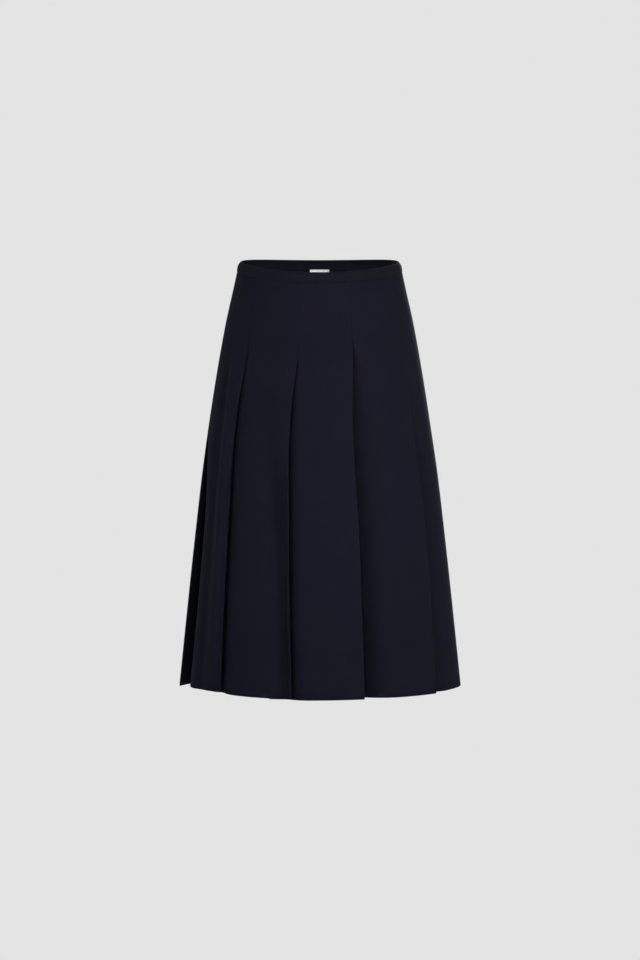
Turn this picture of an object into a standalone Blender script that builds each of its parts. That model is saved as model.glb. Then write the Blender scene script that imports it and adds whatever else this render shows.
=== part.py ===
"""Pleated midi skirt, filled out as it is worn: a flared tube of ten gores with knife pleats.

Metres, +Z up. The origin is the middle of the waist, level with the waistband's upper edge at the sides.
The front faces -Y and the wearer's left is +X. The waist dips at the front.

Angles go round the skirt from the centre front towards +X, so 90 degrees is the wearer's left side.
Every gore is one wall. Its inner end starts at a hidden seam, comes out from under the gore before it,
crosses the face of the skirt, turns round its own pleat edge and runs back underneath to the next seam.
"""

import math

import bmesh
import bpy

BUILD_SCALE = 1000.0  # millimetres in a metre: the slider and the pull are cut in millimetres

# Driving sizes
HEM_DROP = 0.710  # hem below the origin
BAND_HEIGHT = 0.0175
BAND_WALL = 0.002
CLOTH_WALL = 0.001
LAYER_GAP = 0.0006  # air between two layers of a pleat
SEAM_GAP = 0.0003  # between pieces that are sewn together
LAYER_PITCH = CLOTH_WALL + LAYER_GAP

# The waist's upper edge: height at the sides, and how far it tilts and dips towards the front.
WAIST_SIDE_RISE = 0.0034
WAIST_TILT = 0.0101
WAIST_DIP = 0.0076

# The outline, as the half-width and half-depth of the outer face at heights below the origin.
OUTLINE = (
    # drop, half_width, half_depth
    (0.014, 0.1385, 0.1010),
    (0.044, 0.1451, 0.1085),
    (0.094, 0.1564, 0.1190),
    (0.145, 0.1661, 0.1265),
    (0.229, 0.1802, 0.1372),
    (0.330, 0.1949, 0.1482),
    (0.465, 0.2110, 0.1602),
    (0.600, 0.2257, 0.1706),
    (0.710, 0.2372, 0.1780),
)

# The waistband leans in towards its upper edge.
BAND_OUTLINE = (
    # share of the height from the top, how far the outer face stands inside the outline at the band's foot
    (0.0, 0.0060),
    (0.3, 0.0022),
    (0.65, 0.0004),
    (1.0, 0.0),
)
BAND_HALF_WIDTH = 0.1385
BAND_HALF_DEPTH = 0.1010

# One row for each gore, named by where its pleat edge lies, with the edge's angle in degrees at these drops.
EDGE_DROPS = (0.0, 0.12, 0.22, 0.42, HEM_DROP)
GORES = (
    # Then, in millimetres: the drop where the pleat opens, how far its edge stands off the next gore at the
    # hem, how far the edge rolls in, the width of the next gore's hollow, and how much higher than the
    # skirt's length the hem is at the gore's start and at its edge.
    # name, edge angles, opens, stand, roll, hollow, hem_start, hem_edge
    ("gore_01_right_side", (-85.0, -85.0, -85.0, -85.0, -85.0), 250, 18.0, 0.0, 110, 0.0, -1.0),
    ("gore_02_front_right", (-47.0, -46.0, -48.9, -47.6, -44.4), 122, 7.0, 1.0, 34, 1.4, 4.6),
    ("gore_03_front_centre_right", (-11.6, -12.4, -15.4, -14.2, -11.4), 128, 6.0, 3.0, 22, 1.4, -2.2),
    ("gore_04_front_centre_left", (18.8, 19.0, 17.0, 17.8, 18.0), 122, 15.0, 0.0, 50, -3.7, -2.6),
    ("gore_05_front_left", (59.0, 58.8, 56.2, 57.6, 54.8), 190, 6.5, 0.0, 36, -1.9, -1.9),
    ("gore_06_left_side", (105.0, 105.0, 105.0, 104.0, 103.0), 214, 7.0, 1.0, 36, -0.3, 0.6),
    ("gore_07_back_left", (139.0, 139.0, 139.4, 138.6, 139.0), 135, 10.0, 0.0, 45, 0.0, -0.6),
    ("gore_08_back_centre_left", (168.0, 168.0, 168.8, 169.8, 171.0), 128, 7.0, 2.0, 30, -1.2, -1.8),
    ("gore_09_back_centre_right", (204.0, 204.0, 204.6, 204.0, 204.0), 130, 10.0, 0.0, 38, -1.6, 0.0),
    ("gore_10_back_right", (239.0, 239.0, 238.4, 239.2, 239.0), 140, 9.0, 1.0, 42, 0.0, 0.4),
)

UNDERLAY_AT_WAIST = 0.020  # how far a pleat runs back under its edge
UNDERLAY_AT_HEM = 0.040
YOKE_HOLLOW = 0.012  # width of the hollow beside a pleat edge that is stitched down
ROLL_WIDTH = 0.036  # how much of a gore the roll towards its edge takes up
VALLEY_SHARE = 1.15  # how much deeper a standing pleat is at its inner seam than at its edge

RING_DROPS = (0.0, 0.050, 0.105, 0.145, 0.220, 0.330, 0.450, 0.580, HEM_DROP)
FACE_SHARES = (0.0, 0.06, 0.14, 0.26, 0.42, 0.60, 0.76, 0.88, 0.95, 1.0)
FOLD_STEPS = 3

LABEL_WIDTH = 0.034
LABEL_TOP = -0.0102
LABEL_HEIGHT = 0.0206
LABEL_WALL = 0.001
LABEL_CLEARANCE = 0.0009  # from the waistband's flat-sided inner face

RIGHT_SEAM_ANGLE = -85.0  # where the waistband's two pieces meet, opposite the zip
ZIP_ANGLE = 105.0
ZIP_END_DROP = 0.205
ZIP_TAPE_WIDTH = 0.022
ZIP_TAPE_WALL = 0.001
ZIP_TOP_INSET = 0.0015  # the tape stops this far under the waistband's upper edge
SLIDER_WIDTH = 0.0062
SLIDER_HEIGHT = 0.0085
SLIDER_PLATE = 0.0010
SLIDER_TOP_DROP = 0.0065  # below the waistband's upper edge
LUG_WIDTH = 0.0012
LUG_REACH = 0.00365
PIN_RADIUS = 0.0006
PIN_COVER = 0.0002  # what the lugs have round the pin
PULL_WIDTH = 0.0030
PULL_BLADE_WIDTH = 0.0052
PULL_LENGTH = 0.0190
PULL_WALL = 0.0010
EYE_RADIUS = 0.0009
EYE_OUTER_RADIUS = 0.0015
ROUND_SIDES = 16

CLOTH = ("navy_crepe", (0.0105, 0.0105, 0.0175), 0.85, 0.0)
BAND_CLOTH = ("navy_band_crepe", (0.0120, 0.0125, 0.0190), 0.80, 0.0)
LABEL_SATIN = ("white_label_satin", (0.62, 0.62, 0.62), 0.45, 0.0)
ZIP_TAPE = ("navy_zip_tape", (0.0100, 0.0100, 0.0160), 0.70, 0.0)
ZIP_METAL = ("dark_lacquered_zip_metal", (0.020, 0.020, 0.030), 0.32, 1.0)


def clear_scene():
    for old in list(bpy.data.objects):
        bpy.data.objects.remove(old)


def material(look):
    name, colour, roughness, metallic = look
    made = bpy.data.materials.get(name) or bpy.data.materials.new(name)
    made.use_nodes = True
    shader = made.node_tree.nodes["Principled BSDF"]
    shader.inputs["Base Color"].default_value = (*colour, 1.0)
    shader.inputs["Roughness"].default_value = roughness
    shader.inputs["Metallic"].default_value = metallic
    return made


def ease(share):
    """0 before the start, 1 past the end, and a soft S between them."""
    share = min(max(share, 0.0), 1.0)
    return share * share * (3.0 - 2.0 * share)


def between(table, at):
    """Every later column of a table at this value of its first, on a smooth curve through the rows."""
    rows = len(table)
    low = max(0, min(rows - 2, sum(row[0] <= at for row in table) - 1))
    start, end = table[low], table[low + 1]
    before, after = table[max(low - 1, 0)], table[min(low + 2, rows - 1)]
    span = end[0] - start[0]
    share = (at - start[0]) / span
    found = []
    for column in range(1, len(start)):
        leave = (end[column] - before[column]) / (end[0] - before[0]) * span
        arrive = (after[column] - start[column]) / (after[0] - start[0]) * span
        if share < 0.0:
            found.append(start[column] + leave * share)
            continue
        cubed, squared = share**3, share**2
        found.append(
            (2 * cubed - 3 * squared + 1) * start[column]
            + (cubed - 2 * squared + share) * leave
            + (3 * squared - 2 * cubed) * end[column]
            + (cubed - squared) * arrive
        )
    return found


def waist_height(angle):
    """The waistband's upper edge at this angle."""
    forward = math.cos(angle)
    return WAIST_SIDE_RISE - WAIST_TILT * forward - WAIST_DIP * forward * forward


def along(angle, half_width, half_depth):
    """How far the outline runs for each radian here."""
    return math.hypot(half_width * math.cos(angle), half_depth * math.sin(angle))


def place(angle, offset, half_width, half_depth):
    """A point this far outside the outline."""
    length = along(angle, half_width, half_depth)
    out_x = half_depth * math.sin(angle) / length
    out_y = -half_width * math.cos(angle) / length
    return (
        half_width * math.sin(angle) + out_x * offset,
        -half_depth * math.cos(angle) + out_y * offset,
    )


def outline_at(height):
    return between(OUTLINE, max(-height, OUTLINE[0][0]))


def thickened(line, wall):
    """The two faces of a wall whose middle is this line of (x, y, z) points."""
    left, right = [], []
    for i, (x, y, z) in enumerate(line):
        before = line[max(i - 1, 0)]
        after = line[min(i + 1, len(line) - 1)]
        first = (x - before[0], y - before[1])
        second = (after[0] - x, after[1] - y)
        first_length = math.hypot(*first) or 1.0
        second_length = math.hypot(*second) or 1.0
        run = (
            first[0] / first_length + second[0] / second_length,
            first[1] / first_length + second[1] / second_length,
        )
        length = math.hypot(*run)
        half_turn = length / 2.0 if 0 < i < len(line) - 1 else 1.0
        reach = wall / 2.0 / max(half_turn, 0.5)
        side = (run[1] / length * reach, -run[0] / length * reach)
        left.append((x + side[0], y + side[1], z))
        right.append((x - side[0], y - side[1], z))
    return left, right


def wall_object(name, lines, wall, look):
    """One closed wall through these middle lines, the highest first. Every line has as many points."""
    bm = bmesh.new()
    rings = []
    for line in lines:
        left, right = thickened(line, wall)
        rings.append(([bm.verts.new(p) for p in left], [bm.verts.new(p) for p in right]))
    count = len(lines[0])
    for upper, lower in zip(rings, rings[1:]):
        for side in (0, 1):
            for i in range(count - 1):
                bm.faces.new((upper[side][i], upper[side][i + 1], lower[side][i + 1], lower[side][i]))
        for end in (0, count - 1):
            bm.faces.new((upper[0][end], upper[1][end], lower[1][end], lower[0][end]))
    for ring in (rings[0], rings[-1]):
        for i in range(count - 1):
            bm.faces.new((ring[0][i], ring[0][i + 1], ring[1][i + 1], ring[1][i]))
    return finished(name, bm, look)


def finished(name, bm, look):
    bmesh.ops.triangulate(bm, faces=bm.faces[:])
    bmesh.ops.recalc_face_normals(bm, faces=bm.faces[:])
    mesh = bpy.data.meshes.new(name)
    bm.to_mesh(mesh)
    bm.free()
    mesh.materials.append(material(look))
    made = bpy.data.objects.new(name, mesh)
    bpy.context.scene.collection.objects.link(made)
    return made


class Pleat:
    """One gore's pleat edge: where it lies and how it hangs at a height below the origin."""

    def __init__(self, row, turns=0):
        self.name, angles, *lengths = row
        self.opens, self.stand, self.roll, self.hollow, self.hem_start, self.hem_edge = (
            length / BUILD_SCALE for length in lengths
        )
        self.angles = [(drop, math.radians(angle + 360.0 * turns)) for drop, angle in zip(EDGE_DROPS, angles)]

    def edge(self, drop):
        return between(self.angles, drop)[0]

    def open_share(self, drop):
        return max(0.0, (drop - self.opens) / (HEM_DROP - self.opens))

    def standing(self, drop):
        return self.stand * self.open_share(drop) ** 1.2

    def rolled(self, drop):
        return self.roll * ease(self.open_share(drop) * 3.0)

    def hollow_width(self, drop):
        return YOKE_HOLLOW + (self.hollow - YOKE_HOLLOW) * ease(self.open_share(drop) * 2.0)

    def underlay(self, drop):
        return UNDERLAY_AT_WAIST + (UNDERLAY_AT_HEM - UNDERLAY_AT_WAIST) * drop / HEM_DROP


def gore_line(before, own, drop_share):
    """The middle line of one gore, between the pleat before it and its own, at a share of its height."""
    points = []

    def add(angle, offset):
        top = waist_height(angle) - BAND_HEIGHT - SEAM_GAP
        share = (angle - before.edge(HEM_DROP)) / (own.edge(HEM_DROP) - before.edge(HEM_DROP))
        hem = -HEM_DROP + own.hem_start + (own.hem_edge - own.hem_start) * min(max(share, 0.0), 1.0)
        height = top + (hem - top) * drop_share
        half_width, half_depth = outline_at(height)
        x, y = place(angle, offset - CLOTH_WALL / 2.0, half_width, half_depth)
        points.append((x, y, height))

    drop = HEM_DROP * drop_share
    half_width, half_depth = outline_at(-drop)
    start, end = before.edge(drop), own.edge(drop)
    start_run = along(start, half_width, half_depth)
    end_run = along(end, half_width, half_depth)
    width = (end - start) * (start_run + end_run) / 2.0

    # The hidden run, from the seam under the gore before this one to that gore's pleat edge.
    depth = before.rolled(drop) + 2.0 * LAYER_PITCH + before.standing(drop)
    valley = before.rolled(drop) + 2.0 * LAYER_PITCH + before.standing(drop) * VALLEY_SHARE
    underlay = before.underlay(drop)
    for share in (1.0, 0.66, 0.33):
        run = underlay * share - SEAM_GAP * (share == 1.0)
        add(start - run / start_run, -(depth + (valley - depth) * share))

    # The face, which rises out of the hollow beside that edge and may roll in at its own.
    for share in FACE_SHARES:
        angle = start + (end - start) * share
        rise = ease(share * width / before.hollow_width(drop))
        roll = own.rolled(drop) * ease(1.0 - (1.0 - share) * width / ROLL_WIDTH)
        add(angle, -depth * (1.0 - rise) - roll)

    # The pleat edge, half a turn round.
    radius = LAYER_PITCH / 2.0
    edge_offset = -own.rolled(drop)
    for step in range(1, FOLD_STEPS + 1):
        turn = math.pi * step / (FOLD_STEPS + 1)
        add(end + radius * math.sin(turn) / end_run, edge_offset - radius * (1.0 - math.cos(turn)))

    # The underside, back to the seam, and the half turn inwards to it.
    deeper = own.standing(drop) * VALLEY_SHARE
    underlay = own.underlay(drop)
    for share in (0.0, 0.33, 0.66, 1.0):
        add(end - underlay * share / end_run, edge_offset - LAYER_PITCH - deeper * share)
    for step in range(1, FOLD_STEPS + 2):
        turn = math.pi * step / (FOLD_STEPS + 1)
        run = underlay + radius * math.sin(turn)
        add(end - run / end_run, edge_offset - LAYER_PITCH - deeper - radius * (1.0 - math.cos(turn)))
    return points


def gores():
    pleats = [Pleat(row) for row in GORES]
    last_again = Pleat(GORES[-1], turns=-1)
    for before, own in zip([last_again, *pleats], pleats):
        lines = [gore_line(before, own, drop / HEM_DROP) for drop in RING_DROPS]
        wall_object(own.name, lines, CLOTH_WALL, CLOTH)


def band_line(first, last, share, offset, steps):
    """A line round the waistband at this share of its height from the top, offset from its outer face."""
    inset = between(BAND_OUTLINE, share)[0]
    points = []
    for step in range(steps + 1):
        angle = first + (last - first) * step / steps
        half_width, half_depth = outline_at(waist_height(angle) - BAND_HEIGHT)
        x, y = place(angle, offset, half_width - inset, half_depth - inset)
        points.append((x, y, waist_height(angle) - BAND_HEIGHT * share))
    return points


def waistband(name, first, last):
    clearance = SEAM_GAP / 2.0 / BAND_HALF_DEPTH
    first = math.radians(first) + clearance
    last = math.radians(last) - clearance
    lines = [band_line(first, last, row[0], -BAND_WALL / 2.0, 24) for row in BAND_OUTLINE]
    wall_object(name, lines, BAND_WALL, BAND_CLOTH)


def label():
    """A blank strip sewn inside the centre back, on the lower edge of the waistband."""
    half_angle = LABEL_WIDTH / 2.0 / BAND_HALF_WIDTH
    offset = -(BAND_WALL + LABEL_CLEARANCE + LABEL_WALL / 2.0)
    lines = []
    for height in (LABEL_TOP, LABEL_TOP - LABEL_HEIGHT / 2.0, LABEL_TOP - LABEL_HEIGHT):
        line = []
        for step in range(7):
            angle = math.pi - half_angle + 2.0 * half_angle * step / 6
            x, y = place(angle, offset, BAND_HALF_WIDTH, BAND_HALF_DEPTH)
            line.append((x, y, height))
        lines.append(line)
    wall_object("label_blank", lines, LABEL_WALL, LABEL_SATIN)


def zip_tape():
    """The closed zip, inside the left side seam from the waistband's upper edge down."""
    middle = math.radians(ZIP_ANGLE)
    inside = 2.0 * LAYER_PITCH + CLOTH_WALL + SEAM_GAP + ZIP_TAPE_WALL / 2.0
    top = waist_height(middle) - ZIP_TOP_INSET
    drops = (-top, 0.010, 0.016, 0.060, 0.110, 0.160, ZIP_END_DROP)
    lines = []
    for drop in drops:
        share = min(1.0, (waist_height(middle) + drop) / BAND_HEIGHT)
        inset = between(BAND_OUTLINE, share)[0]
        half_width, half_depth = outline_at(-drop)
        half_angle = ZIP_TAPE_WIDTH / 2.0 / along(middle, half_width, half_depth)
        line = []
        for step in range(5):
            angle = middle - half_angle + 2.0 * half_angle * step / 4
            x, y = place(angle, -inside - inset, half_width, half_depth)
            line.append((x, y, -drop))
        lines.append(line)
    wall_object("zip_tape", lines, ZIP_TAPE_WALL, ZIP_TAPE)


def zip_frame():
    """Where the slider's back face sits: a point, and the directions out of and along the waistband."""
    middle = math.radians(ZIP_ANGLE)
    x, y = place(middle, SEAM_GAP, BAND_HALF_WIDTH, BAND_HALF_DEPTH)
    outer = place(middle, 1.0 + SEAM_GAP, BAND_HALF_WIDTH, BAND_HALF_DEPTH)
    out = (outer[0] - x, outer[1] - y)
    return (x, y, waist_height(middle) - SLIDER_TOP_DROP), out, (out[1], -out[0])


def set_on_zip(mesh):
    """Turns a shape built in millimetres with X along the waistband, Y outwards and Z up onto the zip."""
    origin, out, sideways = zip_frame()
    for vert in mesh.vertices:
        x, y, z = (value / BUILD_SCALE for value in vert.co)
        vert.co = (
            origin[0] + sideways[0] * x + out[0] * y,
            origin[1] + sideways[1] * x + out[1] * y,
            origin[2] + z,
        )


def block(name, low, high):
    """A box between two corners, in the slider's own directions."""
    bm = bmesh.new()
    for vert in bmesh.ops.create_cube(bm, size=1.0)["verts"]:
        vert.co = [(low[i] if vert.co[i] < 0 else high[i]) * BUILD_SCALE for i in range(3)]
    return finished(name, bm, ZIP_METAL)


def prism(name, outline, low, high, placed):
    """An outline of (a, b) pairs drawn out from low to high. The last argument makes (a, b, c) a point."""
    bm = bmesh.new()
    ends = []
    for reach in (low, high):
        ring = [bm.verts.new([value * BUILD_SCALE for value in placed(a, b, reach)]) for a, b in outline]
        ends.append(ring)
        bm.faces.new(ring)
    for i in range(len(outline)):
        after = (i + 1) % len(outline)
        bm.faces.new((ends[0][i], ends[0][after], ends[1][after], ends[1][i]))
    return finished(name, bm, ZIP_METAL)


def pin_place():
    """The pin's middle, as outward reach and height in the slider's own directions."""
    return LUG_REACH - PIN_RADIUS - PIN_COVER, -SLIDER_HEIGHT / 2.0


def rod(name, half_length, radius):
    """A round rod along the pin's axis."""
    reach, height = pin_place()
    turns = [math.tau * step / ROUND_SIDES for step in range(ROUND_SIDES)]
    outline = [(reach + radius * math.cos(turn), height + radius * math.sin(turn)) for turn in turns]
    return prism(name, outline, -half_length, half_length, lambda a, b, c: (c, a, b))


def combined(name, body, joins, cuts=()):
    """One body from overlapping shapes, less the cutters, set on the zip."""
    for operation, shapes in (("UNION", joins), ("DIFFERENCE", cuts)):
        for shape in shapes:
            step = body.modifiers.new("step", "BOOLEAN")
            step.operation = operation
            step.object = shape
    bpy.context.view_layer.update()
    graph = bpy.context.evaluated_depsgraph_get()
    mesh = bpy.data.meshes.new_from_object(body.evaluated_get(graph))
    for shape in (body, *joins, *cuts):
        bpy.data.objects.remove(shape)
    set_on_zip(mesh)
    made = bpy.data.objects.new(name, mesh)
    bpy.context.scene.collection.objects.link(made)
    return made


def slider():
    """The slider's plate, two lugs and the pin between them."""
    half = SLIDER_WIDTH / 2.0
    height = pin_place()[1]
    low, high = SLIDER_PLATE / 2.0, height + LUG_WIDTH
    foot = height - LUG_WIDTH
    plate = block("plate", (-half, 0.0, -SLIDER_HEIGHT), (half, SLIDER_PLATE, 0.0))
    right = block("right_lug", (-half, low, foot), (-half + LUG_WIDTH, LUG_REACH, high))
    left = block("left_lug", (half - LUG_WIDTH, low, foot), (half, LUG_REACH, high))
    pin = rod("pin", half - LUG_WIDTH / 2.0, PIN_RADIUS)
    combined("zip_slider", plate, (right, left, pin))


def pull():
    """The pull tab: an eye round the pin, and a blade that widens to a round end."""
    reach, height = pin_place()
    half_eye, half_blade = PULL_WIDTH / 2.0, PULL_BLADE_WIDTH / 2.0
    neck = height - EYE_RADIUS - PULL_WALL / 3.0
    round_centre = -PULL_LENGTH + half_blade
    outline = [(half_eye, neck), (-half_eye, neck)]
    for step in range(ROUND_SIDES // 2 + 1):
        turn = math.pi + math.tau * step / ROUND_SIDES
        outline.append((half_blade * math.cos(turn), round_centre + half_blade * math.sin(turn)))
    low, high = reach - PULL_WALL / 2.0, reach + PULL_WALL / 2.0
    blade = prism("blade", outline, low, high, lambda a, b, c: (a, c, b))
    eye = rod("eye", half_eye, EYE_OUTER_RADIUS)
    bore = rod("bore", half_eye * 2.0, EYE_RADIUS)
    combined("zip_pull", blade, (eye,), (bore,))


clear_scene()
gores()
waistband("waistband_front", RIGHT_SEAM_ANGLE, ZIP_ANGLE)
waistband("waistband_back", ZIP_ANGLE, RIGHT_SEAM_ANGLE + 360.0)
label()
zip_tape()
slider()
pull()
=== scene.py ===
import math

import bmesh
import bpy
import numpy as np
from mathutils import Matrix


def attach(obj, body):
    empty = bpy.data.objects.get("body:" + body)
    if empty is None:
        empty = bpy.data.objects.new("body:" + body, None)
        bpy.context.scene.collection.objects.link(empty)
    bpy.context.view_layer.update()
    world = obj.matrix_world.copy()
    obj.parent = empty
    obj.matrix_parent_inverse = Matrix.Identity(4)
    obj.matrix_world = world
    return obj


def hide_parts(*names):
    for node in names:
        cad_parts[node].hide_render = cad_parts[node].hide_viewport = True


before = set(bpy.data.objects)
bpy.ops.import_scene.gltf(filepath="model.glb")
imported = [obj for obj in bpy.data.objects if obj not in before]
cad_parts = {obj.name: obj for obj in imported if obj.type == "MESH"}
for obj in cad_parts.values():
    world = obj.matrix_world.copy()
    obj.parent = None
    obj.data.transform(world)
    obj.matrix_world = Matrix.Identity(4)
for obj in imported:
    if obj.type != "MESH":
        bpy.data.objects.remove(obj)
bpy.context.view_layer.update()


# ---------------------------------------------------------------------------------------------
# The studio: a plain pale room with a level floor, and five soft lamps: one in front on each side,
# one behind, one overhead, and a small one with a narrow beam near the camera. The camera stands
# level with the waist, a little over five metres in front, with a long lens.
CAMERA_DISTANCE = 5.2
CAMERA_SIDE = 0.0007
AIM_DROP = 0.364
VIEW_HEIGHT = 1.6186  # what the frame's height takes in at the skirt
SENSOR = 36.0
FLOOR_DROP = 1.06
ROOM_RADIUS = 40.0
ROOM_GREY = 0.7758
ROOM_LIGHT = 0.32  # what the room's walls throw back on the skirt

camera = bpy.data.objects.new("camera", bpy.data.cameras.new("camera"))
bpy.context.scene.collection.objects.link(camera)
camera.location = (CAMERA_SIDE, -CAMERA_DISTANCE, 0.0)
camera.rotation_euler = (math.pi / 2.0 - math.atan2(AIM_DROP, CAMERA_DISTANCE), 0.0, 0.0)
camera.data.sensor_width = SENSOR
camera.data.lens = SENSOR * math.hypot(CAMERA_DISTANCE, AIM_DROP) / VIEW_HEIGHT
camera.data.clip_end = 200.0
bpy.context.scene.camera = camera
bpy.context.scene.view_settings.view_transform = "Standard"

world = bpy.data.worlds.new("room_light")
world.use_nodes = True
world.node_tree.nodes["Background"].inputs["Color"].default_value = (1.0, 1.0, 1.0, 1.0)
world.node_tree.nodes["Background"].inputs["Strength"].default_value = ROOM_LIGHT
bpy.context.scene.world = world

room_shape = bmesh.new()
bmesh.ops.create_uvsphere(room_shape, u_segments=96, v_segments=48, radius=ROOM_RADIUS)
for vert in room_shape.verts:
    vert.co.z = max(vert.co.z, -FLOOR_DROP)
bmesh.ops.reverse_faces(room_shape, faces=room_shape.faces[:])
room_mesh = bpy.data.meshes.new("pale_room")
room_shape.to_mesh(room_mesh)
room_shape.free()
room = bpy.data.objects.new("pale_room", room_mesh)
bpy.context.scene.collection.objects.link(room)
room_paint = bpy.data.materials.new("pale_paint")
room_paint.use_nodes = True
room_shader = room_paint.node_tree.nodes["Principled BSDF"]
room_shader.inputs["Base Color"].default_value = (0.0, 0.0, 0.0, 1.0)
room_shader.inputs["Specular IOR Level"].default_value = 0.0
room_shader.inputs["Emission Color"].default_value = (ROOM_GREY, ROOM_GREY, ROOM_GREY, 1.0)
room_shader.inputs["Emission Strength"].default_value = 1.0
room_mesh.materials.append(room_paint)
room.visible_diffuse = False
room.visible_glossy = False
room.visible_shadow = False

LAMPS = (
    # name, where it stands, the drop it is aimed at, width, height, watts, the degrees its light spreads over
    ("right_lamp", (3.2, -2.6, 0.3), AIM_DROP, 2.6, 2.2, 92.0, 180.0),
    ("left_lamp", (-3.4, -2.3, 0.5), AIM_DROP, 1.6, 2.0, 46.0, 180.0),
    ("front_lamp", (0.5, -4.6, 0.3), 0.28, 0.7, 0.5, 1.12, 20.0),
    ("back_lamp", (1.0, 4.2, 0.7), AIM_DROP, 2.0, 2.2, 110.0, 180.0),
    ("top_lamp", (0.1, -1.7, 1.9), AIM_DROP, 1.4, 1.0, 5.0, 180.0),
)
for lamp_name, lamp_place, lamp_aim, lamp_width, lamp_height, watts, lamp_spread in LAMPS:
    lamp_data = bpy.data.lights.new(lamp_name, "AREA")
    lamp_data.shape = "RECTANGLE"
    lamp_data.size = lamp_width
    lamp_data.size_y = lamp_height
    lamp_data.energy = watts
    lamp_data.spread = math.radians(lamp_spread)
    lamp = bpy.data.objects.new(lamp_name, lamp_data)
    bpy.context.scene.collection.objects.link(lamp)
    lamp.location = lamp_place
    out_x, out_y, out_z = lamp_place[0], lamp_place[1], lamp_place[2] + lamp_aim
    turn = math.atan2(out_x, -out_y)
    lamp.rotation_euler = (math.pi / 2.0 - math.atan2(out_z, math.hypot(out_x, out_y)), 0.0, turn)
    lamp.visible_camera = False


# ---------------------------------------------------------------------------------------------
# The cloth: a matt midnight-navy crepe, plain woven from tightly twisted yarn, which gives it a fine pebbled
# face. The warp runs down each gore. Pressed pleat edges are a little smoother, and a faint highlight is
# painted lighter into their colour. Shade is painted into the colour deep in the pleats.
class Wire:
    """A shader socket that takes part in sums; numbers on either side become the node's own values."""

    def __init__(self, look, socket):
        self.look = look
        self.socket = socket

    def sum_node(self, operation, first, second):
        return self.look.node("ShaderNodeMath", {"operation": operation}, {0: first, 1: second})

    def __add__(self, other):
        return self.sum_node("ADD", self, other)

    __radd__ = __add__

    def __sub__(self, other):
        return self.sum_node("SUBTRACT", self, other)

    def __rsub__(self, other):
        return self.sum_node("SUBTRACT", other, self)

    def __mul__(self, other):
        return self.sum_node("MULTIPLY", self, other)

    __rmul__ = __mul__


class Look:
    """One material and the nodes behind its shader."""

    def __init__(self, name, **fixed):
        self.material = bpy.data.materials.new(name)
        self.material.use_nodes = True
        self.tree = self.material.node_tree
        self.shader = self.tree.nodes["Principled BSDF"]
        for socket, value in fixed.items():
            self.shader.inputs[socket.replace("_", " ")].default_value = value

    def node(self, kind, settings=None, sockets=None, out=0):
        made = self.tree.nodes.new(kind)
        for setting, value in (settings or {}).items():
            if setting == "stops":
                ramp = made.color_ramp
                for stop, (place, shade) in zip((ramp.elements[0], ramp.elements[-1]), value):
                    stop.position = place
                    stop.color = (shade, shade, shade, 1.0)
            else:
                setattr(made, setting, value)
        for socket, value in (sockets or {}).items():
            if isinstance(value, Wire):
                self.tree.links.new(value.socket, made.inputs[socket])
            else:
                made.inputs[socket].default_value = value
        return Wire(self, made.outputs[out])

    def noise(self, place, scale, detail=2.0):
        sockets = {"Vector": place, "Scale": scale, "Detail": detail}
        return self.node("ShaderNodeTexNoise", {"noise_dimensions": "2D"}, sockets)

    def sine(self, angle):
        return self.node("ShaderNodeMath", {"operation": "SINE"}, {0: angle})

    def blend(self, share, low, high):
        """A colour between two; each is three numbers or a wire."""
        low, high = (end if isinstance(end, Wire) else (*end, 1.0) for end in (low, high))
        return self.node("ShaderNodeMix", {"data_type": "RGBA"}, {0: share, 6: low, 7: high}, out=2)

    def cloth_map(self):
        """The piece's own map, and its two directions, across and down, in metres."""
        whole = self.node("ShaderNodeUVMap", {"uv_map": "grain"})
        split = self.node("ShaderNodeSeparateXYZ", sockets={"Vector": whole})
        return whole, split, Wire(self, split.socket.node.outputs["Y"])

    def mark(self, name):
        """A number that a mesh carries at each of its points."""
        return self.node("ShaderNodeAttribute", {"attribute_name": name}, out=2)

    def feed(self, socket, wire):
        self.tree.links.new(wire.socket, self.shader.inputs[socket])

    def bump(self, strength, distance, height):
        sockets = {"Strength": strength, "Distance": distance, "Height": height}
        self.feed("Normal", self.node("ShaderNodeBump", sockets=sockets))


YARN_STEP = 0.00042  # from one yarn to the next
PEBBLE_SCALE = 900.0
CLOUD_SCALE = 22.0
YARN_LENGTHWAYS = 26.0  # how often a yarn's thickness changes in a metre of its length
WARP_SCALE = 1500.0
WEFT_SCALE = 1400.0
CREPE_RELIEF = 0.00012
PAINTED_SHADE_SHARE = 0.6  # how far the colour goes to near black where a pleat folds in: shade painted in
PAINTED_SHADE_TONE = 0.3  # that near black, as a share of the cloth's darker colour


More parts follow.
